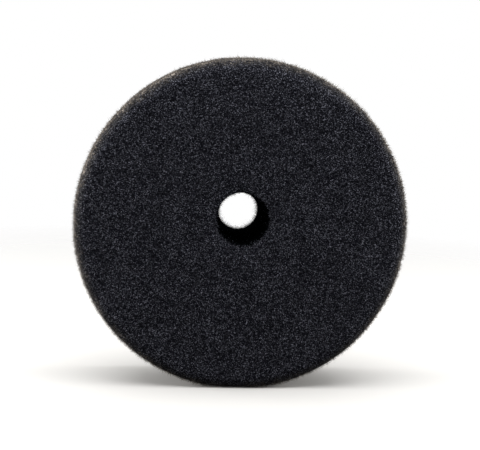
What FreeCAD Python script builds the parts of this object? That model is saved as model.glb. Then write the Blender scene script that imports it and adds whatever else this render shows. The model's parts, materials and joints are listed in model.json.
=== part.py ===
# Foam polishing pad with a hook-and-loop back, in millimetres, standing on its rim.
# The pad's axis lies along Y: the working face looks towards -Y and the loop back towards +Y.
# The origin is under the middle of the pad, on the surface that its rim stands on. +Z is up.
import FreeCAD
import Part
import math
import os

# Foam body
padRadius = 75.0
foamThickness = 32.5
workingEdgeRadius = 6.0
backEdgeBevel = 2.5
rimSag = 1.5  # how far the foam gives where the rim stands

# Hole, punched through every layer
holeRadius = 9.5
holeRise = 3.8  # the punch came down this far above the pad's axis
holeStraightDepth = 12.0  # of the foam, counted from its back
holeFlare = 2.1  # how much wider the hole is behind its rounded mouth
holeMouthRounding = 1.2

# Hook-and-loop back
filmThickness = 0.3
baseFabricThickness = 0.6
loopPileHeight = 1.6
backingInset = 0.5  # from the foam's back edge
loopPileInset = 0.8  # the knit's bare cut edge

# Places that follow from the sizes above
padThickness = foamThickness + filmThickness + baseFabricThickness + loopPileHeight
workingFace = -padThickness / 2.0
foamBack = workingFace + foamThickness
filmBack = foamBack + filmThickness
fabricBack = filmBack + baseFabricThickness
pileBack = fabricBack + loopPileHeight
axisHeight = padRadius - rimSag
holeHeight = axisHeight + holeRise
holeMouthRadius = holeRadius + holeFlare
backRadius = padRadius - backEdgeBevel
backingRadius = backRadius - backingInset
pileRadius = backingRadius - loopPileInset
throughCut = padThickness  # how far a cutter runs past the faces that it cuts


def onSection(radius, along):
    # A point of a half section, drawn in the XY plane before it is turned about Y.
    return FreeCAD.Vector(radius, along, 0.0)


def straight(start, end):
    return Part.LineSegment(start, end).toShape()


def quarterRound(start, centre, radius, middleAngle, end):
    # A quarter round through the point at the middle angle, in degrees from the section's X.
    angle = math.radians(middleAngle)
    middle = onSection(centre.x + radius * math.cos(angle), centre.y + radius * math.sin(angle))
    return Part.Arc(start, middle, end).toShape()


def turned(edges, height):
    # Turns a closed half section about Y and lifts its axis to a height.
    face = Part.Face(Part.Wire(edges))
    solid = face.revolve(FreeCAD.Vector(0, 0, 0), FreeCAD.Vector(0, 1, 0), 360.0)
    return solid.translated(FreeCAD.Vector(0, 0, height))


def foamBlock():
    # Half section: flat working face, rounded edge, wall, bevel and back, closed along the axis.
    faceMiddle = onSection(0.0, workingFace)
    edgeTop = onSection(padRadius - workingEdgeRadius, workingFace)
    edgeCentre = onSection(edgeTop.x, workingFace + workingEdgeRadius)
    edgeSide = onSection(padRadius, edgeCentre.y)
    wallEnd = onSection(padRadius, foamBack - backEdgeBevel)
    backEdge = onSection(backRadius, foamBack)
    backMiddle = onSection(0.0, foamBack)
    edges = [
        straight(faceMiddle, edgeTop),
        quarterRound(edgeTop, edgeCentre, workingEdgeRadius, 315.0, edgeSide),
        straight(edgeSide, wallEnd),
        straight(wallEnd, backEdge),
        straight(backEdge, backMiddle),
        straight(backMiddle, faceMiddle),
    ]
    return turned(edges, axisHeight)


def holeCutter():
    # Half section of what the punch takes out: rounded mouth, flare towards it and a straight back.
    mouthTop = onSection(holeMouthRadius + holeMouthRounding, workingFace)
    mouthCentre = onSection(mouthTop.x, workingFace + holeMouthRounding)
    mouthSide = onSection(holeMouthRadius, mouthCentre.y)
    flareEnd = onSection(holeRadius, foamBack - holeStraightDepth)
    backEdge = onSection(holeRadius, pileBack + throughCut)
    backMiddle = onSection(0.0, backEdge.y)
    frontMiddle = onSection(0.0, workingFace - throughCut)
    frontEdge = onSection(mouthTop.x, frontMiddle.y)
    edges = [
        straight(frontEdge, mouthTop),
        quarterRound(mouthTop, mouthCentre, holeMouthRounding, 225.0, mouthSide),
        straight(mouthSide, flareEnd),
        straight(flareEnd, backEdge),
        straight(backEdge, backMiddle),
        straight(backMiddle, frontMiddle),
        straight(frontMiddle, frontEdge),
    ]
    return turned(edges, holeHeight)


def disc(radius, front, back):
    # A flat round layer between two places along the axis.
    start = FreeCAD.Vector(0, front, axisHeight)
    return Part.makeCylinder(radius, back - front, start, FreeCAD.Vector(0, 1, 0))


def belowSurface():
    # Everything under the surface that the rim stands on.
    width = 4.0 * padRadius
    depth = 4.0 * padThickness
    corner = FreeCAD.Vector(-width / 2.0, -depth / 2.0, -padRadius)
    return Part.makeBox(width, depth, padRadius, corner)


def writeLayer(name, layer):
    # Punches the hole, flattens the standing rim and writes the layer as a node.
    solid = layer.cut(holeCutter()).cut(belowSurface())
    solid.exportStep("parts/" + name + ".step")
    print(name, round(solid.Volume, 1), "mm3, solids:", len(solid.Solids), "valid:", solid.isValid())


os.makedirs("parts", exist_ok=True)
writeLayer("foam_pad", foamBlock())
writeLayer("adhesive_film", disc(backingRadius, foamBack, filmBack))
writeLayer("loop_base_fabric", disc(backingRadius, filmBack, fabricBack))
writeLayer("loop_pile", disc(pileRadius, fabricBack, pileBack))
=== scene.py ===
import bpy
import json
import math
import numpy as np
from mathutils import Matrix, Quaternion, Vector

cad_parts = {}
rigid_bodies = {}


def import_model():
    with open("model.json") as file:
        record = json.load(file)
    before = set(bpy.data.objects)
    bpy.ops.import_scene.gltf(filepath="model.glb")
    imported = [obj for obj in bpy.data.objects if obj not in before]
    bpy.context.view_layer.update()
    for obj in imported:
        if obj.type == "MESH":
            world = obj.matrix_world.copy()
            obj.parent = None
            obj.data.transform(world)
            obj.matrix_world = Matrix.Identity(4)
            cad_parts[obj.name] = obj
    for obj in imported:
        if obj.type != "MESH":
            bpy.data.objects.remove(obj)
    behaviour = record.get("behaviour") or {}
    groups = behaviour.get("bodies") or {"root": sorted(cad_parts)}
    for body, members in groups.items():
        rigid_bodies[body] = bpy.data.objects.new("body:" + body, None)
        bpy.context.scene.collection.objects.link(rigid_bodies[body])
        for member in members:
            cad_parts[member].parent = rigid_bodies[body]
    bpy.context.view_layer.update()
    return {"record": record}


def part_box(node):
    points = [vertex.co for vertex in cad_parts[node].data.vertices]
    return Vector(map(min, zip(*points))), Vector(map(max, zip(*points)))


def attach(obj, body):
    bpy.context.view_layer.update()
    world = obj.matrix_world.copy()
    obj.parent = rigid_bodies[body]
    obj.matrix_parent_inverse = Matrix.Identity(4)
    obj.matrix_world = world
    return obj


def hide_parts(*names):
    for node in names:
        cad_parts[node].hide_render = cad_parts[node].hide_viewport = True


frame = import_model()

mm = 0.001
body = "root"

# Where the layers lie, read from the frame.
foamLow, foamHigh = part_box("foam_pad")
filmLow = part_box("adhesive_film")[0]
knitLow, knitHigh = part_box("loop_base_fabric")
pileLow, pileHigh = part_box("loop_pile")
holeMount = next(m for m in frame["record"]["mounts"] if m["name"] == "centre_hole")
workingFace = foamLow[1]
foamBack = filmLow[1]
padRadius = (foamHigh[0] - foamLow[0]) / 2
axisHeight = foamHigh[2] - padRadius
holeHeight = holeMount["pos_m"][2]
holeRadius = holeMount["dims"]["r_mm"] * mm
print("frame read: pad radius", round(padRadius / mm, 2), "mm, hole", round(holeRadius / mm, 2), "mm")


def scramble(ix, iy, iz, salt):
    # A lattice cell's whole numbers mixed into one number from 0 to 1, the same every run: each is
    # multiplied by a large odd number, and shifts and further products spread the bits.
    mixed = (ix * 73856093) ^ (iy * 19349663) ^ (iz * 83492791) ^ (salt * 50331653)
    mixed = (mixed ^ (mixed >> 15)) * 2246822519 & 0xFFFFFFFF
    mixed = (mixed ^ (mixed >> 13)) * 3266489917 & 0xFFFFFFFF
    return ((mixed ^ (mixed >> 16)) & 0xFFFFFF) / float(0xFFFFFF)


def nearestCells(points, pitch, salt):
    # Distances from each point to its first, second and third nearest bubble centres. There is one
    # centre in each cube of a lattice of the given pitch, thrown anywhere within its cube. Also
    # gives a number from 0 to 1 that belongs to the nearest bubble.
    scaled = points / pitch
    home = np.floor(scaled).astype(np.int64)
    inside = scaled - home
    first = np.full(len(points), 9.0)  # further than any centre can be
    second = first.copy()
    third = first.copy()
    owner = np.zeros(len(points))
    for dx in (-1, 0, 1):
        for dy in (-1, 0, 1):
            for dz in (-1, 0, 1):
                ix, iy, iz = home[:, 0] + dx, home[:, 1] + dy, home[:, 2] + dz
                reach = (dx + scramble(ix, iy, iz, salt) - inside[:, 0]) ** 2
                reach += (dy + scramble(ix, iy, iz, salt + 1) - inside[:, 1]) ** 2
                reach += (dz + scramble(ix, iy, iz, salt + 2) - inside[:, 2]) ** 2
                reach = np.sqrt(reach)
                owner = np.where(reach < first, scramble(ix, iy, iz, salt + 3), owner)
                third = np.minimum(third, np.maximum(second, reach))
                second = np.minimum(second, np.maximum(first, reach))
                first = np.minimum(first, reach)
    return first * pitch, second * pitch, third * pitch, owner


def softNoise(points, pitch, salt):
    # Smooth noise from -1 to 1: the lattice's random corner values blended by a smooth step.
    scaled = points / pitch
    home = np.floor(scaled).astype(np.int64)
    part = scaled - home
    part = part * part * (3 - 2 * part)
    total = np.zeros(len(points))
    for dx in (0, 1):
        for dy in (0, 1):
            for dz in (0, 1):
                share = np.where(dx, part[:, 0], 1 - part[:, 0])
                share *= np.where(dy, part[:, 1], 1 - part[:, 1])
                share *= np.where(dz, part[:, 2], 1 - part[:, 2])
                total += share * scramble(home[:, 0] + dx, home[:, 1] + dy, home[:, 2] + dz, salt)
    return total * 2 - 1


def layeredNoise(points, layers):
    # Smooth noises of several pitches added up, each a layer of (pitch, share, salt).
    return sum(softNoise(points, pitch, salt) * share for pitch, share, salt in layers)


def makePiece(name, points, corners, sides, values, material, smooth):
    # A mesh object at the origin from points, one flat list of face corners and each face's sides.
    mesh = bpy.data.meshes.new(name)
    mesh.vertices.add(len(points))
    mesh.vertices.foreach_set("co", np.ascontiguousarray(points, dtype=np.float32).ravel())
    mesh.loops.add(len(corners))
    mesh.loops.foreach_set("vertex_index", corners.astype(np.int32))
    mesh.polygons.add(len(sides))
    starts = np.r_[0, np.cumsum(sides)[:-1]].astype(np.int32)
    mesh.polygons.foreach_set("loop_start", starts)
    mesh.polygons.foreach_set("use_smooth", np.full(len(sides), smooth))
    mesh.update(calc_edges=True)
    mesh.validate()
    for key, value in values.items():
        layer = mesh.attributes.new(key, "FLOAT", "POINT")
        layer.data.foreach_set("value", value.astype(np.float32))
    mesh.materials.append(material)
    piece = bpy.data.objects.new(name, mesh)
    bpy.context.scene.collection.objects.link(piece)
    return piece


def joinRings(counts):
    # Faces between each ring of points and the next, and from the last back to the first. Rings of
    # one count are joined by quads; where the count doubles or halves, three triangles fill each
    # step of the coarser ring.
    corners, sides = [], []
    starts = np.r_[0, np.cumsum(counts)]
    for here in range(len(counts)):
        there = (here + 1) % len(counts)
        a, b = starts[here], starts[there]
        n, m = counts[here], counts[there]
        i = np.arange(min(n, m))
        j = (i + 1) % min(n, m)
        f0, f1, f2 = 2 * i, 2 * i + 1, (2 * i + 2) % max(n, m)
        if n == m:
            fill = np.c_[a + i, b + i, b + j, a + j]
        elif m == 2 * n:
            fill = np.c_[a + i, b + f0, b + f1, a + i, b + f1, a + j, a + j, b + f1, b + f2]
        else:
            fill = np.c_[a + f0, b + i, a + f1, a + f1, b + i, b + j, a + f1, b + j, a + f2]
        corners.append(fill.ravel())
        sides.append(np.full(len(i), 4) if n == m else np.full(3 * len(i), 3))
    return np.concatenate(corners), np.concatenate(sides)


foam = {
    "step": 0.245 * mm,  # between rings on the face and round the working edge
    "wallStep": 0.29 * mm,
    "holeStep": 0.36 * mm,
    "pointsRound": 480,  # at the hole; doubled twice on the way out
    "doubleAt": 18.0 * mm,
    "edgeRadius": 6.0 * mm,
    "backBevel": 2.5 * mm,
    "backRings": (0, 0.3 * mm, 1.0 * mm),  # in from the back's edge; flat from the second on
    "mouthRadius": 12.0 * mm,
    "mouthRounding": 1.2 * mm,
    "mouthRings": 8,
    "mouthFade": 1.6,  # how soon the hole's pressed skin, and the painted shade deep in the hole, end round the mouth
    "straightDepth": 12.0 * mm,
    "cellPitch": 0.66 * mm,
    "cellSalt": 11,
    "cellDepth": 0.50 * mm,
    "shallowest": 0.55,  # the shallowest bubble, as a share of the depth
    "pressed": 0.55,  # how much shallower the cells are that the punch pressed
    "rimDeeper": 0.7,  # how much deeper the cells are where the working edge frays
    "mouthDeeper": 0.9,  # and round the hole's mouth
    "mouthReach": 1.8 * mm,
    "mouthTorn": 1.2,  # above 1, the lip itself is wholly torn
    "mouthTurn": -0.3,  # the outward direction leans this far into the hole where its mouth begins
    "ridgeWidth": 0.15 * mm,
    "ridgeShare": 0.62,
    "junctionWidth": 0.24 * mm,
    "junctionShare": 0.5,
    "unevenness": 0.22 * mm,
    "inward": 0.4,  # how far the unevenness leans into the foam
    "sway": ((9 * mm, 0.6, 31), (3.1 * mm, 0.4, 47)),
    "dip": 0.30 * mm,  # how far the face sinks towards the hole, where the punch pulled it in
    "dipReach": 5.5 * mm,
    "crown": 0.35 * mm,  # how far the face falls away towards the working edge
    "crownFrom": 40.0 * mm,
    "frayReach": 13.0 * mm,  # how far down the wall the fraying of the working edge goes
    "frayFall": 3,  # the power by which it fades there
    "frayRate": 2.2,  # how fast the struts come loose towards the end of the working edge
    "frayDepth": 0.48 * mm,  # how much of the rim there is loose strut ends only
    "patches": ((2.2 * mm, 0.16, 67), (7 * mm, 0.12, 71)),  # unevenness of the fraying colour and of its painted rim light
    "patchyFrom": 0.1,
    "wallPatchiness": 1.2,
}


def foamRings(spec):
    # The pad's section walked from the hole's back, out over the working face and round to the back
    # again. Each ring: radius, place along the axis, centre height, outward direction, points round,
    # how frayed it is, from 0 on the face to 1 at the end of the working edge and down to 0 along
    # the wall, and how far it is inside the hole, from 0 on the face to 1 past the mouth.
    rings = []

    def add(radius, along, centre, outR, outY, count, edge, deep=0):
        rings.append((radius, along, centre, outR, outY, count, edge, deep))

    step, n = spec["step"], spec["pointsRound"]
    mouthY = workingFace + spec["mouthRounding"]
    flareY = foamBack - spec["straightDepth"]
    for y in np.linspace(foamBack, flareY, int(spec["straightDepth"] / spec["holeStep"]), endpoint=False):
        add(holeRadius, y, holeHeight, -1, 0, n, 0, 1)
    flare = np.linspace(0, 1, int((flareY - mouthY) / spec["holeStep"]), endpoint=False)
    for t in flare:
        add(holeRadius + t * (spec["mouthRadius"] - holeRadius), flareY + t * (mouthY - flareY),
            holeHeight, -1, 0, n, 0, 1)
    for a in np.linspace(0, math.pi / 2, spec["mouthRings"], endpoint=False):
        centreR = spec["mouthRadius"] + spec["mouthRounding"]
        add(centreR - spec["mouthRounding"] * math.cos(a), mouthY - spec["mouthRounding"] * math.sin(a),
            holeHeight, -math.cos(a), -math.sin(a), n, 0, max(0, 1 - spec["mouthFade"] * math.sin(a)))
    faceStart = spec["mouthRadius"] + spec["mouthRounding"]
    faceEnd = padRadius - spec["edgeRadius"]
    for r in np.arange(faceStart, faceEnd, step):
        t = (r - faceStart) / (faceEnd - faceStart)
        count = n if r < spec["doubleAt"] else 2 * n if r < 2 * spec["doubleAt"] else 4 * n
        add(r, workingFace, holeHeight + t * (axisHeight - holeHeight), 0, -1, count, 0)
    arc = spec["edgeRadius"] * math.pi / 2
    for a in np.linspace(0, math.pi / 2, int(arc / step), endpoint=False):
        add(faceEnd + spec["edgeRadius"] * math.sin(a), workingFace + spec["edgeRadius"] * (1 - math.cos(a)),
            axisHeight, math.sin(a), -math.cos(a), 4 * n, a / (math.pi / 2))
    wallStart = workingFace + spec["edgeRadius"]
    wallEnd = foamBack - spec["backBevel"]
    for y in np.linspace(wallStart, wallEnd, int((wallEnd - wallStart) / spec["wallStep"]), endpoint=False):
        fray = max(0, 1 - (y - wallStart) / spec["frayReach"]) ** spec["frayFall"]
        add(padRadius, y, axisHeight, 1, 0, 4 * n, fray)
    slant = math.sqrt(0.5)
    for t in np.linspace(0, 1, int(spec["backBevel"] / slant / step), endpoint=False):
        add(padRadius - t * spec["backBevel"], wallEnd + t * spec["backBevel"],
            axisHeight, slant, slant, 4 * n, 0)
    backRadius = padRadius - spec["backBevel"]
    backRings = [(backRadius - inset, 4 * n) for inset in spec["backRings"]]
    for r, count in backRings + [(2 * spec["doubleAt"], 2 * n), (spec["doubleAt"], n)]:
        t = (backRadius - r) / (backRadius - holeRadius)
        add(r, foamBack, axisHeight + t * (holeHeight - axisHeight), 0, 1, count, 0)
    return rings


def makeFoam(spec, material, holeMaterial):
    # Every ring's points are set out round its centre: radius times cosine across, radius times sine
    # up. They are then pushed in, against the outward direction, by the depth of the bubble that the
    # surface cuts there. A strut stands where two bubbles are equally near, and most of all where
    # three are, falling off as the exponential of minus the squared difference of distance.
    rings = foamRings(spec)
    counts = [r[5] for r in rings]
    table = np.array([r[:5] + r[6:] for r in rings])
    rows = np.repeat(np.arange(len(rings)), counts)
    turn = np.concatenate([np.arange(n) * (2 * math.pi / n) for n in counts])
    radius, along, centre, outR, outY, edge, deep = table[rows].T
    fromMouth = np.maximum(radius - spec["mouthRadius"] - spec["mouthRounding"], 0)
    depth = np.clip((along - workingFace) / spec["edgeRadius"], 0, 1)
    dip = spec["dip"] * np.clip(1 - fromMouth / spec["dipReach"], 0, 1) ** 2
    outerPart = np.maximum(radius - spec["crownFrom"], 0) / (padRadius - spec["crownFrom"])
    crown = spec["crown"] * outerPart ** 2
    along = along + (dip + crown) * (1 - depth)
    points = np.c_[radius * np.cos(turn), along, centre + radius * np.sin(turn)]
    outward = np.c_[outR * np.cos(turn), outY, outR * np.sin(turn)]
    standing = points[:, 2] < 0  # the flat that the pad stands on
    outward[standing] = (0, 0, -1)
    points[:, 2] = np.maximum(points[:, 2], 0)
    hidden = (outY == 1) & (radius < padRadius - spec["backBevel"])  # the back, under the film
    first, second, third, owner = nearestCells(points, spec["cellPitch"], spec["cellSalt"])
    ridge = np.exp(-((second - first) / spec["ridgeWidth"]) ** 2)
    junction = np.exp(-((third - first) / spec["junctionWidth"]) ** 2)
    strut = np.clip(spec["ridgeShare"] * ridge + spec["junctionShare"] * junction, 0, 1)
    loosened = np.clip(1 - spec["frayRate"] * (1 - edge), 0, 1)
    fromLip = np.abs(along - workingFace - spec["mouthRounding"]) / spec["mouthReach"]
    torn = np.clip(spec["mouthTorn"] - fromLip, 0, 1) * (outR < spec["mouthTurn"])
    bubble = spec["cellDepth"] * (spec["shallowest"] + (1 - spec["shallowest"]) * owner)
    bubble = bubble * (1 + spec["rimDeeper"] * loosened + spec["mouthDeeper"] * torn)
    sink = -(1 - strut) * bubble * (1 - spec["pressed"] * deep)
    sink = sink + spec["unevenness"] * (layeredNoise(points, spec["sway"]) - spec["inward"])
    sink = sink - spec["frayDepth"] * loosened
    sink = np.where(hidden, 0, sink)
    moved = points + outward * sink[:, None]
    moved[:, 2] = np.maximum(moved[:, 2], 0)
    corners, sides = joinRings(counts)
    onWall = np.clip((points[:, 1] - workingFace) / spec["edgeRadius"] - 1, 0, 1)
    patchy = layeredNoise(points, spec["patches"]) * (1 + spec["wallPatchiness"] * onWall)
    patchy = patchy * np.clip(edge / spec["patchyFrom"], 0, 1)
    values = {"strut": strut, "fray": edge + patchy, "deep": deep, "side": np.clip(outR, 0, 1)}
    piece = makePiece("foamBody", moved, corners, sides, values, material, True)
    piece.data.materials.append(holeMaterial)
    starts = np.r_[0, np.cumsum(sides)[:-1]]
    inHole = deep[corners[starts]] > 0.9
    piece.data.polygons.foreach_set("material_index", inHole.astype(np.int32))
    print("foam body:", len(moved), "points,", int((sides - 2).sum()), "triangles")
    return piece, moved, outward, junction, edge, hidden | standing, outR


def node(tree, kind, **settings):
    made = tree.nodes.new(kind)
    for key, value in settings.items():
        setattr(made, key, value)
    return made


def startMaterial(name):
    material = bpy.data.materials.new(name)
    material.use_nodes = True
    return material, material.node_tree, material.node_tree.nodes["Principled BSDF"]


def startGroup(name, inputs, outputs):
    # A node group with named numbers going in, each with its usual value, and named numbers out.
    group = bpy.data.node_groups.new(name, "ShaderNodeTree")
    for key, value in inputs.items():
        made = group.interface.new_socket(name=key, in_out="INPUT", socket_type="NodeSocketFloat")
        made.default_value = value
    for key in outputs:
        group.interface.new_socket(name=key, in_out="OUTPUT", socket_type="NodeSocketFloat")
    return group, group.links.new, node(group, "NodeGroupInput"), node(group, "NodeGroupOutput")


def grainAndGlintGroup():
    # Foam grain and painted glints, shared by both foam materials: painted glints, tiny facets coloured
    # bright as if they caught the light on the struts, a slow patchiness, and a fine relief. Facets come
    # from a fine cell pattern whose random value is raised to a power, so that few are bright; patches come
    # from noise.
    inputs = {"Facet Scale": 2000.0, "Rarity": 5.0, "Patch Scale": 120.0}
    group, link, entry, leave = startGroup("foamGrainAndGlints", inputs, ("Glint Facets", "Patches", "Relief"))
    place = node(group, "ShaderNodeTexCoord")
    facets = node(group, "ShaderNodeTexVoronoi", feature="F1")
    link(place.outputs["Object"], facets.inputs["Vector"])
    link(entry.outputs["Facet Scale"], facets.inputs["Scale"])
    split = node(group, "ShaderNodeSeparateColor")
    link(facets.outputs["Color"], split.inputs["Color"])
    rare = node(group, "ShaderNodeMath", operation="POWER")
    link(split.outputs["Red"], rare.inputs[0])
    link(entry.outputs["Rarity"], rare.inputs[1])
    link(rare.outputs["Value"], leave.inputs["Glint Facets"])
    link(facets.outputs["Distance"], leave.inputs["Relief"])
    patches = node(group, "ShaderNodeTexNoise")
    patches.inputs["Detail"].default_value = 3.0
    link(place.outputs["Object"], patches.inputs["Vector"])
    link(entry.outputs["Patch Scale"], patches.inputs["Scale"])
    link(patches.outputs["Fac"], leave.inputs["Patches"])
    return group


def ramp(tree, source, low, high, start=0.0, end=1.0):
    # A value carried from one range to another, held at both ends.
    made = node(tree, "ShaderNodeMapRange")
    made.inputs["From Min"].default_value = low
    made.inputs["From Max"].default_value = high
    made.inputs["To Min"].default_value = start
    made.inputs["To Max"].default_value = end
    tree.links.new(source, made.inputs["Value"])
    return made.outputs["Result"]


def arithmetic(tree, operation, first, second):
    # Two numbers or sockets put through one maths node.
    made = node(tree, "ShaderNodeMath", operation=operation)
    for socket, value in zip(made.inputs, (first, second)):
        if isinstance(value, (int, float)):
            socket.default_value = value
        else:
            tree.links.new(value, socket)
    return made.outputs["Value"]


def blendColour(tree, factor, first, second, way="MIX"):
    # Two colours or sockets mixed by a factor.
    made = node(tree, "ShaderNodeMix", data_type="RGBA", blend_type=way)
    a, b, mixed = made.inputs[6], made.inputs[7], made.outputs[2]  # the colour sockets
    for socket, value in ((made.inputs["Factor"], factor), (a, first), (b, second)):
        if isinstance(value, (int, float, tuple)):
            socket.default_value = value
        else:
            tree.links.new(value, socket)
    return mixed


def attribute(tree, name):
    # A number that the mesh carries at each of its points.
    return node(tree, "ShaderNodeAttribute", attribute_name=name).outputs["Fac"]


def addBump(tree, shader, height, strength, distance):
    # Fine relief, too small for the mesh, from a height.
    bump = node(tree, "ShaderNodeBump")
    bump.inputs["Strength"].default_value = strength
    bump.inputs["Distance"].default_value = distance
    tree.links.new(height, bump.inputs["Height"])
    tree.links.new(bump.outputs["Normal"], shader.inputs["Normal"])


def addGrainAndGlints(tree, grain, scale, rarity):
    # The foam grain and painted glints at a scale of its own; the rarity is the power that makes the bright
    # painted glints few.
    made = node(tree, "ShaderNodeGroup", node_tree=grain)
    made.inputs["Facet Scale"].default_value = scale
    made.inputs["Rarity"].default_value = rarity
    return made


foamLook = {
    # The blue cast of the pit, strut and glint colours is painted sheen of the front face; the side tint
    # below takes it off round the working edge and on the wall.
    "pitColour": (0.0064, 0.0066, 0.0104, 1),
    "strutColour": (0.0088, 0.0090, 0.0146, 1),
    # painted glint: a highlight on the struts' facets, put into the colour
    "paintedGlintColour": (0.33, 0.34, 0.41, 1),
    # the frayed edge's warm colour, partly its own, partly painted rim light
    "frayAndRimLightColour": (0.060, 0.051, 0.042, 1),
    # painted glints, warm, scattered over the frayed edge
    "rimGlintSpeckColour": (0.80, 0.71, 0.61, 1),
    # pale strut tips: painted backlight shining through them
    "backlitTipColour": (0.44, 0.39, 0.33, 1),
    # takes the face's blue painted sheen off the sides
    "sheenOffSideTint": (0.86, 0.84, 0.72, 1),
    "speckScale": 1500.0,
    "speckRarity": 2.6,
    # painted shade: the hole's wall darkened as it lies in shadow deep inside
    "holeShadeColour": (0.0010, 0.0013, 0.0015, 1),
    "facetScale": 3100.0,
    "rarity": 7.0,
    "roughness": 0.62,
    "specular": 0.05,
    "bump": (0.4, 0.15 * mm),  # strength and distance
    "pressedBump": (0.2, 0.15 * mm),
    # how much of the painted glints is left on the hole's wall, in its painted shade
    "holeGlintShare": 0.3,
    # Each range below carries a value from its first two numbers to its last two, or to 0 and 1.
    "onStrut": (0.2, 0.95),
    "frayedRimLit": (0.15, 0.95),
    "sideFray": (0.965, 1.0, 1.0, 0.4),  # the fraying colour and its painted rim light fade once round the working edge
    "tip": (0.3, 0.9),
    "strutShine": (0.05, 0.5, 0.3, 1.0),
    "frayedShine": (0.0, 1.0, 1.0, 0.25),
    "sideShine": (0.15, 1.0, 1.0, 0.45),
    "unfrayed": (0.0, 0.5, 1.0, 0.0),
    "onSide": (0.3, 0.7),
    "inHole": (0.0, 0.6),
    "tone": (0.3, 0.7, 0.86, 1.14),
}


def foamMaterial(spec, grain):
    # Black in the open cells, dark on the struts, with painted glints, bright facets here and there. Where
    # the working edge is frayed, by the square of how frayed it is, warm specks and pale tips take over: the
    # frayed struts' own colour, lightened by painted rim light, painted glints and painted backlight.
    material, tree, shader = startMaterial("openCellFoam")
    strut, deep, side = attribute(tree, "strut"), attribute(tree, "deep"), attribute(tree, "side")
    fine = addGrainAndGlints(tree, grain, spec["facetScale"], spec["rarity"])
    coarse = addGrainAndGlints(tree, grain, spec["speckScale"], spec["speckRarity"])

    frayedRimLit = arithmetic(tree, "POWER", ramp(tree, attribute(tree, "fray"), *spec["frayedRimLit"]), 2.0)
    frayedRimLit = arithmetic(tree, "MULTIPLY", frayedRimLit, ramp(tree, side, *spec["sideFray"]))
    # Warm specks and pale tips: the frayed struts' colour with painted rim light, painted glints and painted
    # backlight.
    loose = blendColour(tree, coarse.outputs["Glint Facets"], spec["frayAndRimLightColour"], spec["rimGlintSpeckColour"])
    loose = blendColour(tree, ramp(tree, attribute(tree, "tip"), *spec["tip"]), loose, spec["backlitTipColour"])

    # Painted glints: bright facets on the struts, damped where frayed and round the side.
    shine = arithmetic(tree, "MULTIPLY", fine.outputs["Glint Facets"], ramp(tree, strut, *spec["strutShine"]))
    shine = arithmetic(tree, "MULTIPLY", shine, ramp(tree, frayedRimLit, *spec["frayedShine"]))
    shine = arithmetic(tree, "MULTIPLY", shine, ramp(tree, side, *spec["sideShine"]))

    colour = blendColour(tree, frayedRimLit, spec["strutColour"], loose)
    colour = blendColour(tree, ramp(tree, strut, *spec["onStrut"]), spec["pitColour"], colour)
    colour = blendColour(tree, shine, colour, spec["paintedGlintColour"])
    # The face's blue painted sheen is taken off the sides, where not frayed.
    unfrayed = ramp(tree, frayedRimLit, *spec["unfrayed"])
    sheenOffShare = arithmetic(tree, "MULTIPLY", ramp(tree, side, *spec["onSide"]), unfrayed)
    colour = blendColour(tree, sheenOffShare, colour, spec["sheenOffSideTint"], "MULTIPLY")
    # Painted shade deep in the hole.
    colour = blendColour(tree, ramp(tree, deep, *spec["inHole"]), colour, spec["holeShadeColour"])
    scaled = node(tree, "ShaderNodeVectorMath", operation="SCALE")
    tree.links.new(colour, scaled.inputs[0])
    tree.links.new(ramp(tree, fine.outputs["Patches"], *spec["tone"]), scaled.inputs["Scale"])
    tree.links.new(scaled.outputs[0], shader.inputs["Base Color"])
    addBump(tree, shader, fine.outputs["Relief"], *spec["bump"])
    shader.inputs["Roughness"].default_value = spec["roughness"]
    shader.inputs["Specular IOR Level"].default_value = spec["specular"]
    return material


def punchedShadeMaterial(spec, grain):
    # The punched hole's wall: foam pressed smooth, painted near black as painted shade deep in the hole,
    # with a trace of the painted glints, and no gloss.
    material, tree, shader = startMaterial("punchedFoamInShade")
    pattern = addGrainAndGlints(tree, grain, spec["facetScale"], spec["rarity"])
    faint = arithmetic(tree, "MULTIPLY", pattern.outputs["Glint Facets"], spec["holeGlintShare"])
    colour = blendColour(tree, faint, spec["holeShadeColour"], spec["strutColour"])
    tree.links.new(colour, shader.inputs["Base Color"])
    addBump(tree, shader, pattern.outputs["Relief"], *spec["pressedBump"])
    shader.inputs["Roughness"].default_value = 1.0
    shader.inputs["Specular IOR Level"].default_value = 0.0
    return material


stubs = {
    "number": 19800,
    "length": (0.25 * mm, 0.70 * mm),
    "thickness": 0.050 * mm,
    "thicknessSpread": (0.7, 1.3),
    "taper": (1.2, 1.0),  # girth at the root and at the bend
    "rootDepth": 0.12 * mm,
    "lean": 0.5,
    "bend": 0.5,
    "bendAt": 0.55,  # of the way along
    "meeting": 0.6,  # how nearly three bubbles meet where a strut end can stand
    "rimFrom": 0.55,  # of the way round the working edge
    "slopeFrom": 0.2,
    "weights": {"rim": 16.0, "slope": 3.0, "face": 1.0, "mouth": 30.0},
    "longer": {"rim": 1.75, "mouth": 1.5, "face": 0.7},
    "strut": 0.9,  # how much of a strut the material takes them for
    "sideMost": 0.96,  # keeps them below the material's fading of the frayed side
}


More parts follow.
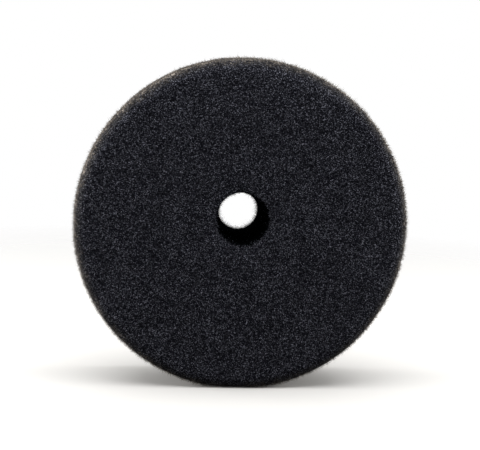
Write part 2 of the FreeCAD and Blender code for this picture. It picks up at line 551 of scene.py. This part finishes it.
def makeSpikes(name, root, line, girth, values, material):
    # Tapering three-sided spikes, each carried along its own bent line of three points, closed at the
    # root and pointed at the tip. A ring's points are its centre plus girth times cosine and sine
    # across the line. The first direction across is found with a vector thrown off the line's own.
    count, sides = len(root), 3
    way = line[:, 2] - line[:, 0]
    across = np.cross(way, np.roll(way, 1, axis=1) + (0.13, 0.41, 0.27) * np.abs(way).max(1)[:, None])
    across /= np.linalg.norm(across, axis=1, keepdims=True)
    other = np.cross(way, across)
    other /= np.linalg.norm(other, axis=1, keepdims=True)
    turn = (np.arange(sides) * 2 * math.pi / sides)[None, None, :, None]
    circle = across[:, None, None, :] * np.cos(turn) + other[:, None, None, :] * np.sin(turn)
    rings = (line[:, :2, None, :] + circle * girth[:, :, None, None]).reshape(count, -1, 3)
    points = np.concatenate([rings, line[:, 2:]], 1).reshape(-1, 3)
    points[:, 2] = np.maximum(points[:, 2], 0)
    i = np.arange(sides)
    j = (i + 1) % sides
    each = 2 * sides + 1
    walls = np.c_[i, j, sides + j, sides + i]
    ends = np.r_[[i[::-1]], np.c_[sides + i, sides + j, np.full(sides, 2 * sides)]]
    first = (np.arange(count) * each)[:, None, None]
    corners = np.concatenate([(walls[None] + first).ravel(), (ends[None] + first).ravel()])
    faceSides = np.concatenate([np.full(len(walls) * count, 4), np.full(len(ends) * count, 3)])
    spread = {key: np.repeat(value, each) for key, value in values.items()}
    spread["tip"] = np.tile(np.r_[np.repeat([0.3, 0.7], sides), 1.0], count)  # root, bend, point
    print(name + ":", count, "spikes,", int((faceSides - 2).sum()), "triangles")
    return makePiece(name, points, corners, faceSides, spread, material, False)


def makeStubs(spec, surface, material):
    # Cut strut ends standing on the foam, set where three bubbles meet and leaning at random. There
    # are more, and longer, round the working edge and the hole's mouth.
    moved, outward, junction, edge, hidden, outR = surface
    rng = np.random.default_rng(7)
    weights, longer = spec["weights"], spec["longer"]
    mouth = (outR < foam["mouthTurn"]) & (outR > -0.999)  # past that, the hole's straight wall
    rim, slope = edge > spec["rimFrom"], edge > spec["slopeFrom"]
    weight = np.where((junction > spec["meeting"]) & ~hidden, 1.0, 0.0)
    weight *= np.where(rim, weights["rim"], np.where(slope, weights["slope"], weights["face"]))
    weight *= np.where(mouth, weights["mouth"], 1.0)
    chosen = rng.choice(len(moved), spec["number"], replace=False, p=weight / weight.sum())
    root, up = moved[chosen], outward[chosen]
    lean = rng.normal(size=up.shape) * spec["lean"]
    along = up + lean - up * (lean * up).sum(1, keepdims=True)
    bend = rng.normal(size=up.shape) * spec["bend"]
    share = np.where(rim[chosen], longer["rim"], np.where(mouth[chosen], longer["mouth"], longer["face"]))
    length = (rng.uniform(*spec["length"], len(chosen)) * share)[:, None]
    line = np.stack([root - up * spec["rootDepth"], root + along * length * spec["bendAt"],
                     root + (along + bend) * length], 1)
    girth = spec["thickness"] * rng.uniform(*spec["thicknessSpread"], (len(chosen), 1))
    girth = girth * np.array([spec["taper"]])
    values = {"fray": edge[chosen], "strut": np.full(len(chosen), spec["strut"]),
              "deep": np.zeros(len(chosen)), "side": np.clip(outR[chosen], 0, spec["sideMost"])}
    return makeSpikes("strutEnds", root, line, girth, values, material)


backing = {
    "step": 0.62 * mm,
    "pointsRound": 96,
    "doubleAt": 18.0 * mm,
    "waleWidth": 2.5 * mm,
    "waleDepth": 0.13 * mm,
    "courseShare": 0.3,  # how much the rows of stitches notch each wale
    "edgeWander": 0.25 * mm,
    "wanderPitch": 2.7 * mm,
    "wanderSalt": 61,
}


def makeBacking(spec, material):
    # The knitted ground of the loop fabric: a flat ring of cloth. Its back face is ribbed, its height
    # going as the square of the sine across each wale, and its outer cut edge wanders a little.
    n = spec["pointsRound"]
    inner, outer = holeRadius, (knitHigh[0] - knitLow[0]) / 2
    low, high = knitLow[1], knitHigh[1]
    across = np.arange(inner, outer, spec["step"])
    rings = [(r, low) for r in (inner, spec["doubleAt"], 2 * spec["doubleAt"], outer)]
    rings += [(r, high) for r in np.r_[outer, across[:0:-1], inner]]
    table = np.array(rings)
    doublings = (table[:, 0] >= spec["doubleAt"]) * 1 + (table[:, 0] >= 2 * spec["doubleAt"])
    counts = n * 2 ** doublings
    rows = np.repeat(np.arange(len(table)), counts)
    turn = np.concatenate([np.arange(c) * (2 * math.pi / c) for c in counts])
    radius, along = table[rows].T
    share = (outer - radius) / (outer - inner)
    centre = axisHeight + share * (holeHeight - axisHeight)
    points = np.c_[radius * np.cos(turn), along, centre + radius * np.sin(turn)]
    wander = (softNoise(points, spec["wanderPitch"], spec["wanderSalt"]) - 1) / 2
    wander = wander * spec["edgeWander"] * (radius == outer)
    points[:, 0] += wander * np.cos(turn)
    points[:, 2] += wander * np.sin(turn)
    rib = np.sin(points[:, 0] / spec["waleWidth"] * math.pi) ** 2
    courses = np.sin(points[:, 2] / spec["waleWidth"] * 2 * math.pi)
    rib = rib * (1 - spec["courseShare"] + spec["courseShare"] * courses)
    points[:, 1] -= np.where(along > (low + high) / 2, (1 - rib) * spec["waleDepth"], 0)
    corners, sides = joinRings(counts)
    piece = makePiece("knitBacking", points, corners, sides, {}, material, True)
    print("knit backing:", int((sides - 2).sum()), "triangles")
    return piece


pile = {
    "rowPitch": 1.62 * mm,
    "loopPitch": 1.30 * mm,
    "height": (1.05 * mm, 1.5 * mm),
    "width": (0.8 * mm, 1.25 * mm),
    "yarn": 0.105 * mm,
    "yarnSpread": (0.8, 1.25),
    "jitter": (0.15 * mm, 0.11 * mm),  # along a row and across it
    "turn": 0.7,  # how far a loop turns out of its row
    "lean": 0.32,
    "brushed": (0.1, 0.25),  # the way all the loops lean
    "edgeRoom": 0.3 * mm,
    "holeRoom": 0.35 * mm,
    "rootDepth": 0.1 * mm,
    "ringsEach": 7,
    "sidesEach": 3,
    "drift": ((5 * mm, 0.22, 83), (16 * mm, 0.15, 89)),  # slow changes of shade over the back
    "shadeLift": 0.1,
    "names": ("loopPileLower", "loopPileUpper"),
}


def makePile(spec, material):
    # Loops of yarn standing on the backing in jittered rows. Each is an arch: half its width times
    # the cosine along its own direction, its height times the sine, to the power of 0.8, upward, and
    # leaning to one side.
    rng = np.random.default_rng(19)
    reach = (pileHigh[0] - pileLow[0]) / 2 - spec["edgeRoom"]
    x = np.arange(-reach, reach, spec["loopPitch"])
    x, z = np.meshgrid(x, np.arange(-reach, reach, spec["rowPitch"]))
    x = (x + (np.arange(len(x)) % 2)[:, None] * spec["loopPitch"] / 2).ravel()
    z = z.ravel()
    x = x + rng.normal(size=len(x)) * spec["jitter"][0]
    z = z + rng.normal(size=len(z)) * spec["jitter"][1]
    fromHole = np.hypot(x, z - (holeHeight - axisHeight))
    kept = (np.hypot(x, z) < reach) & (fromHole > holeRadius + spec["holeRoom"])
    x, z = x[kept], z[kept]
    count, rings, sidesEach = len(x), spec["ringsEach"], spec["sidesEach"]

    heading = rng.normal(size=count) * spec["turn"]
    side = np.c_[np.cos(heading), np.zeros(count), np.sin(heading)]
    width, height = rng.uniform(*spec["width"], count), rng.uniform(*spec["height"], count)
    tilt = rng.normal(size=(count, 2)) * spec["lean"] + spec["brushed"]
    t = np.linspace(0, math.pi, rings)
    rise = np.sin(t) ** 0.8
    line = side[:, None, :] * (np.cos(t)[None, :, None] * width[:, None, None] / 2)
    line[:, :, 1] += height[:, None] * rise[None]
    line[:, :, 0] += tilt[:, :1] * height[:, None] * rise[None]
    line[:, :, 2] += tilt[:, 1:] * height[:, None] * rise[None]
    line += np.c_[x, np.full(count, pileLow[1] - spec["rootDepth"]), z + axisHeight][:, None, :]

    along = np.gradient(line, axis=1)
    along /= np.linalg.norm(along, axis=2, keepdims=True)
    flat = np.cross(side, (0, 1, 0))[:, None, :] + 0 * along
    flat -= along * (flat * along).sum(2, keepdims=True)
    flat /= np.linalg.norm(flat, axis=2, keepdims=True)
    other = np.cross(along, flat)
    turn = np.arange(sidesEach) * 2 * math.pi / sidesEach
    yarn = spec["yarn"] * rng.uniform(*spec["yarnSpread"], (count, 1, 1, 1))
    circle = flat[:, :, None, :] * np.cos(turn)[:, None] + other[:, :, None, :] * np.sin(turn)[:, None]
    points = line[:, :, None, :] + circle * yarn
    points[..., 1] = np.minimum(points[..., 1], pileHigh[1])
    drift = layeredNoise(np.c_[x, 0 * x, z], spec["drift"])
    shade = np.clip(rng.uniform(size=count) ** 2 + drift + spec["shadeLift"], 0, 1)

    i = np.arange(sidesEach)
    j = (i + 1) % sidesEach
    wall = np.c_[i, j, sidesEach + j, sidesEach + i]
    walls = np.concatenate([wall + sidesEach * k for k in range(rings - 1)])
    caps = np.array([i[::-1], i + sidesEach * (rings - 1)])
    pieces = []
    for name, part in zip(spec["names"], np.array_split(np.arange(count), len(spec["names"]))):
        first = (np.arange(len(part)) * sidesEach * rings)[:, None, None]
        corners = np.concatenate([(walls[None] + first).ravel(), (caps[None] + first).ravel()])
        sides = np.repeat((4, sidesEach), (len(walls) * len(part), 2 * len(part)))
        values = {"shade": np.repeat(shade[part], sidesEach * rings)}
        pieces.append(makePiece(name, points[part].reshape(-1, 3), corners, sides, values, material, True))
        print(name + ":", len(part), "loops,", int((sides - 2).sum()), "triangles")
    return pieces


cutEdge = {
    "holeFibres": 5200,
    "rimFibres": 2600,
    "length": (0.2 * mm, 1.7 * mm),
    "rimShorter": 0.6,
    "fewLong": 1.6,  # the power that makes the long ones few
    "thickness": 0.012 * mm,
    "thicknessSpread": (0.7, 1.4),
    "taper": (1.2, 1.0),
    "rootDepth": 0.2 * mm,
    "rimInset": 0.2 * mm,
    "lean": (0.5, 0.25, 0.5),
    "bend": (0.3, 0.2, 0.3),
    "bendAt": 0.5,
    "endAt": 0.95,
    "backRoom": 0.1 * mm,
}


def makeCutFibres(spec, material):
    # Filaments pulled out of the loop fabric's two cut edges, where it was punched: each starts on the
    # edge's circle and runs away from the cloth along the radius, leaning at random.
    rng = np.random.default_rng(23)
    count = spec["holeFibres"] + spec["rimFibres"]
    atHole = np.arange(count) < spec["holeFibres"]
    turn = rng.uniform(0, 2 * math.pi, count)
    radius = np.where(atHole, holeRadius, (knitHigh[0] - knitLow[0]) / 2 - spec["rimInset"])
    centre = np.where(atHole, holeHeight, axisHeight)
    away = np.c_[np.cos(turn), np.zeros(count), np.sin(turn)]
    root = away * radius[:, None]
    root[:, 1] = rng.uniform(knitLow[1], knitHigh[1], count)
    root[:, 2] += centre
    way = away * np.where(atHole, -1, 1)[:, None]
    shortest, longest = spec["length"]
    length = shortest + rng.uniform(size=count) ** spec["fewLong"] * (longest - shortest)
    length = (length * np.where(atHole, 1, spec["rimShorter"]))[:, None]
    lean = rng.normal(size=(count, 3)) * spec["lean"]
    bend = rng.normal(size=(count, 3)) * spec["bend"]
    line = np.stack([root - way * spec["rootDepth"], root + (way + lean) * length * spec["bendAt"],
                     root + (way + lean + bend) * length * spec["endAt"]], 1)
    line[:, :, 1] = np.clip(line[:, :, 1], filmLow[1], pileHigh[1] - spec["backRoom"])
    girth = spec["thickness"] * rng.uniform(*spec["thicknessSpread"], (count, 1))
    girth = girth * np.array([spec["taper"]])
    return makeSpikes("cutFibres", root, line, girth, {"shade": rng.uniform(size=count)}, material)


def clothGroup():
    # Cloth, shared by the knit, the loops, the cut fibres and the film: fine filaments as a stretched
    # noise, and slow blotches, both on object coordinates.
    inputs = {"Filament Scale": 3000.0, "Blotch Scale": 60.0}
    group, link, entry, leave = startGroup("yarn", inputs, ("Filaments", "Blotches"))
    place = node(group, "ShaderNodeTexCoord")
    stretch = node(group, "ShaderNodeMapping")
    stretch.inputs["Scale"].default_value = (1.0, 0.35, 0.35)
    link(place.outputs["Object"], stretch.inputs["Vector"])
    filaments = node(group, "ShaderNodeTexNoise")
    filaments.inputs["Detail"].default_value = 2.0
    link(stretch.outputs["Vector"], filaments.inputs["Vector"])
    link(entry.outputs["Filament Scale"], filaments.inputs["Scale"])
    link(filaments.outputs["Fac"], leave.inputs["Filaments"])
    blotches = node(group, "ShaderNodeTexNoise")
    blotches.inputs["Detail"].default_value = 3.0
    link(place.outputs["Object"], blotches.inputs["Vector"])
    link(entry.outputs["Blotch Scale"], blotches.inputs["Scale"])
    link(blotches.outputs["Fac"], leave.inputs["Blotches"])
    return group


yarnLook = {
    "loopDark": (0.012, 0.012, 0.013, 1),
    "loopLight": (0.17, 0.17, 0.176, 1),
    # The knit ground's own black, painted far darker than the loops' yarn: painted shade in the gaps under
    # the loops.
    "knitDarkInShade": (0.0012, 0.0012, 0.0014, 1),
    "knitLightInShade": (0.006, 0.006, 0.0065, 1),
    "fibreDark": (0.020, 0.018, 0.016, 1),
    "fibreLight": (0.075, 0.070, 0.062, 1),
    "yarnScale": 5200.0,  # of the filaments on loose yarn
    "knitScale": 2600.0,
    "waleWidth": 1.25 * mm,
    "courseHeight": 0.9 * mm,
    "roughness": 0.6,
    "specular": 0.3,
    "sheen": 0.12,
    "sheenRoughness": 0.45,
    "bump": (0.5, 0.08 * mm),  # strength and distance
    "filaments": (0.35, 0.65),
    "blotches": (0.3, 0.7, 0.75, 1.25),
    "shadeShare": 0.45,  # what each pattern adds towards the light tone
    "filamentShare": 0.4,
    "stitchShare": 0.5,
    "yarnOnKnit": 0.6,  # what the stitches leave of the other two
    "filamentHeight": 0.4,  # beside the stitches' own
}


def wave(tree, along, length):
    # The sine of a coordinate, once up and down in each length.
    return arithmetic(tree, "SINE", arithmetic(tree, "MULTIPLY", along, 2 * math.pi / length), 0)


def yarnMaterial(name, group, dark, light, spec, filamentScale, stitch):
    # Dyed yarn between a dark and a light tone, by the yarn's own shade, its filaments and the
    # blotches; on the knit a stitch pattern of two crossed waves lifts the relief as well, and the
    # knit's tones are painted darker as painted shade under the loops.
    material, tree, shader = startMaterial(name)
    pattern = node(tree, "ShaderNodeGroup", node_tree=group)
    pattern.inputs["Filament Scale"].default_value = filamentScale
    filaments = ramp(tree, pattern.outputs["Filaments"], *spec["filaments"])
    shade = arithmetic(tree, "MULTIPLY", attribute(tree, "shade"), spec["shadeShare"])
    lift = arithmetic(tree, "ADD", shade, arithmetic(tree, "MULTIPLY", filaments, spec["filamentShare"]))
    height = pattern.outputs["Filaments"]
    if stitch:
        parts = node(tree, "ShaderNodeSeparateXYZ")
        tree.links.new(node(tree, "ShaderNodeTexCoord").outputs["Object"], parts.inputs["Vector"])
        wales = wave(tree, parts.outputs["X"], spec["waleWidth"])
        courses = wave(tree, parts.outputs["Z"], spec["courseHeight"])
        stitches = ramp(tree, arithmetic(tree, "MULTIPLY", wales, courses), -1, 1)
        height = arithmetic(tree, "MULTIPLY", height, spec["filamentHeight"])
        height = arithmetic(tree, "ADD", height, stitches)
        lift = arithmetic(tree, "ADD", arithmetic(tree, "MULTIPLY", lift, spec["yarnOnKnit"]),
                          arithmetic(tree, "MULTIPLY", stitches, spec["stitchShare"]))
    lift = arithmetic(tree, "MULTIPLY", lift, ramp(tree, pattern.outputs["Blotches"], *spec["blotches"]))
    tree.links.new(blendColour(tree, ramp(tree, lift, 0, 1), dark, light), shader.inputs["Base Color"])
    addBump(tree, shader, height, *spec["bump"])
    shader.inputs["Roughness"].default_value = spec["roughness"]
    shader.inputs["Specular IOR Level"].default_value = spec["specular"]
    shader.inputs["Sheen Weight"].default_value = spec["sheen"]
    shader.inputs["Sheen Roughness"].default_value = spec["sheenRoughness"]
    return material


filmLook = {
    "thin": (0.0030, 0.0030, 0.0033, 1),
    "thick": (0.0075, 0.0073, 0.0070, 1),
    "blotchScale": 220.0,
    "ranThick": (0.35, 0.65),
    "smooth": 0.50,
    "rough": 0.75,
    "specular": 0.15,
    "bump": (0.3, 0.1 * mm),  # strength and distance
}


def filmMaterial(spec, group):
    # Set hot-melt film: slightly lighter and rougher where the blotches say it ran thicker.
    material, tree, shader = startMaterial("meltedFilm")
    pattern = node(tree, "ShaderNodeGroup", node_tree=group)
    pattern.inputs["Blotch Scale"].default_value = spec["blotchScale"]
    run = ramp(tree, pattern.outputs["Blotches"], *spec["ranThick"])
    tree.links.new(blendColour(tree, run, spec["thin"], spec["thick"]), shader.inputs["Base Color"])
    tree.links.new(ramp(tree, run, 0, 1, spec["smooth"], spec["rough"]), shader.inputs["Roughness"])
    addBump(tree, shader, pattern.outputs["Blotches"], *spec["bump"])
    shader.inputs["Specular IOR Level"].default_value = spec["specular"]
    return material


stage = {
    "reach": 3.0,
    "solidTo": 0.20,  # the floor is whole to here, then melts into the studio's white
    "goneBy": 0.45,
    "colour": (0.620, 0.613, 0.600, 1),
    "bounce": (0.095, 0.093, 0.090, 1),  # how much of the light the floor sends back onto the pad
    "glow": 0.04,
}


def makeStage(spec):
    # A pale floor, which is not part of the object. Its alpha falls with the distance from the
    # origin, and what it sends back onto the pad is less than what the camera sees.
    mesh = bpy.data.meshes.new("floor")
    s = spec["reach"]
    mesh.from_pydata([(-s, -s, 0), (s, -s, 0), (s, s, 0), (-s, s, 0)], [], [(0, 1, 2, 3)])
    material, tree, shader = startMaterial("paleFloor")
    place = node(tree, "ShaderNodeTexCoord").outputs["Object"]
    away = node(tree, "ShaderNodeVectorMath", operation="LENGTH")
    tree.links.new(place, away.inputs[0])
    seen = node(tree, "ShaderNodeLightPath").outputs["Is Camera Ray"]
    tree.links.new(blendColour(tree, seen, spec["bounce"], spec["colour"]), shader.inputs["Base Color"])
    shader.inputs["Roughness"].default_value = 1.0
    shader.inputs["Specular IOR Level"].default_value = 0.0
    shader.inputs["Emission Color"].default_value = spec["colour"]
    shader.inputs["Emission Strength"].default_value = spec["glow"]
    alpha = ramp(tree, away.outputs["Value"], spec["solidTo"], spec["goneBy"], 1.0, 0.0)
    tree.links.new(alpha, shader.inputs["Alpha"])
    mesh.materials.append(material)
    floor = bpy.data.objects.new("floor", mesh)
    bpy.context.scene.collection.objects.link(floor)


def areaLight(name, place, aim, size, power, colour):
    # A rectangular softbox at a place, turned to face its aim.
    light = bpy.data.lights.new(name, "AREA")
    light.shape = "RECTANGLE"
    light.size, light.size_y = size
    light.energy = power
    light.color = colour
    lamp = bpy.data.objects.new(name, light)
    lamp.location = place
    lamp.rotation_euler = (Vector(aim) - Vector(place)).to_track_quat("-Z", "Y").to_euler()
    bpy.context.scene.collection.objects.link(lamp)


studio = {
    "seenWhite": 1.0,
    "frontAir": 0.14,
    "backAir": 1.15,
    "airTurn": 0.6,  # the air changes between this much of a direction's -Y and of its +Y
    "topPlace": (0.0, -0.09, 0.55),
    "topAim": (0, 0, 0.05),
    "topSize": (0.8, 0.36),
    "topPower": 4.15,
    "topColour": (1, 1, 1),
    "sidePlace": (0.55, 0.02, 0.13),  # the right one; the left one mirrors it
    "sideAim": (0, 0, 0.07),
    "sideSize": (0.3, 0.24),
    "leftPower": 3.5,
    "rightPower": 2.7,
    "sideColour": (1, 0.98, 0.95),
}


def makeStudio(spec):
    # White air all round as seen, but lighting more from behind than from the front, with one softbox
    # overhead and one at each side.
    world = bpy.data.worlds.new("studioAir")
    bpy.context.scene.world = world
    world.use_nodes = True
    tree = world.node_tree
    background = tree.nodes["Background"]
    way = node(tree, "ShaderNodeTexCoord").outputs["Generated"]
    parts = node(tree, "ShaderNodeSeparateXYZ")
    tree.links.new(way, parts.inputs["Vector"])
    turn = spec["airTurn"]
    lit = ramp(tree, parts.outputs["Y"], -turn, turn, spec["frontAir"], spec["backAir"])
    seen = node(tree, "ShaderNodeLightPath").outputs["Is Camera Ray"]
    strength = node(tree, "ShaderNodeMix", data_type="FLOAT")
    tree.links.new(seen, strength.inputs["Factor"])
    tree.links.new(lit, strength.inputs["A"])
    strength.inputs["B"].default_value = spec["seenWhite"]
    tree.links.new(strength.outputs["Result"], background.inputs["Strength"])
    background.inputs["Color"].default_value = (1, 1, 1, 1)
    areaLight("topSoftbox", spec["topPlace"], spec["topAim"], spec["topSize"], spec["topPower"],
              spec["topColour"])
    x, y, z = spec["sidePlace"]
    for name, place, power in (("leftSoftbox", (-x, y, z), spec["leftPower"]),
                               ("rightSoftbox", (x, y, z), spec["rightPower"])):
        areaLight(name, place, spec["sideAim"], spec["sideSize"], power, spec["sideColour"])
    scene = bpy.context.scene
    scene.view_settings.view_transform = "Standard"
    scene.view_settings.look = "None"


camera = {
    "aside": -37.6 * mm,  # from the pad's axis
    "above": 71.5 * mm,
    "before": 435.4 * mm,  # in front of the working face
    "turn": math.radians(4.23),
    "dip": math.radians(6.86),
    "roll": math.radians(1.85),
    "lens": 75.0,
    "sensor": 36.0,
    "shiftX": 0.0167,
    "shiftY": -0.0825,
}


def makeCamera(spec):
    # The camera looks along a line turned from the pad's axis and dipped below the level, then rolls
    # about that line.
    data = bpy.data.cameras.new("camera")
    data.sensor_width = spec["sensor"]
    data.lens = spec["lens"]
    data.shift_x, data.shift_y = spec["shiftX"], spec["shiftY"]
    data.clip_start, data.clip_end = 0.01, 50.0
    eye = bpy.data.objects.new("camera", data)
    eye.location = (spec["aside"], workingFace - spec["before"], axisHeight + spec["above"])
    ahead = Vector((math.sin(spec["turn"]) * math.cos(spec["dip"]),
                    math.cos(spec["turn"]) * math.cos(spec["dip"]), -math.sin(spec["dip"])))
    level = ahead.to_track_quat("-Z", "Y")
    eye.rotation_euler = (level @ Quaternion((0, 0, 1), spec["roll"])).to_euler()
    bpy.context.scene.collection.objects.link(eye)
    bpy.context.scene.camera = eye


makeStage(stage)
makeStudio(studio)
makeCamera(camera)
print("stage, studio and camera set")

grain = grainAndGlintGroup()
openFoam = foamMaterial(foamLook, grain)
foamBody, *surface = makeFoam(foam, openFoam, punchedShadeMaterial(foamLook, grain))
strutEnds = makeStubs(stubs, surface, openFoam)

yarn = clothGroup()
yarnScale, knitScale = yarnLook["yarnScale"], yarnLook["knitScale"]
loopMat = yarnMaterial("loopYarn", yarn, yarnLook["loopDark"], yarnLook["loopLight"], yarnLook,
                       yarnScale, False)
knitMat = yarnMaterial("knitYarn", yarn, yarnLook["knitDarkInShade"], yarnLook["knitLightInShade"], yarnLook,
                       knitScale, True)
fibreMat = yarnMaterial("cutYarn", yarn, yarnLook["fibreDark"], yarnLook["fibreLight"], yarnLook,
                        yarnScale, False)
knitBacking = makeBacking(backing, knitMat)
pileLower, pileUpper = makePile(pile, loopMat)
cutFibres = makeCutFibres(cutEdge, fibreMat)
film = bpy.data.objects["adhesive_film"]
film.data.materials.clear()
film.data.materials.append(filmMaterial(filmLook, yarn))
print("film: the frame's own mesh, with the set film's material")

for piece, slot in ((foamBody, "foam"), (strutEnds, "foam"), (knitBacking, "knit"), (cutFibres, "knit"),
                    (pileLower, "loops"), (pileUpper, "loops")):
    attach(piece, body)
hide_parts("foam_pad")
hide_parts("loop_base_fabric")
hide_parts("loop_pile")
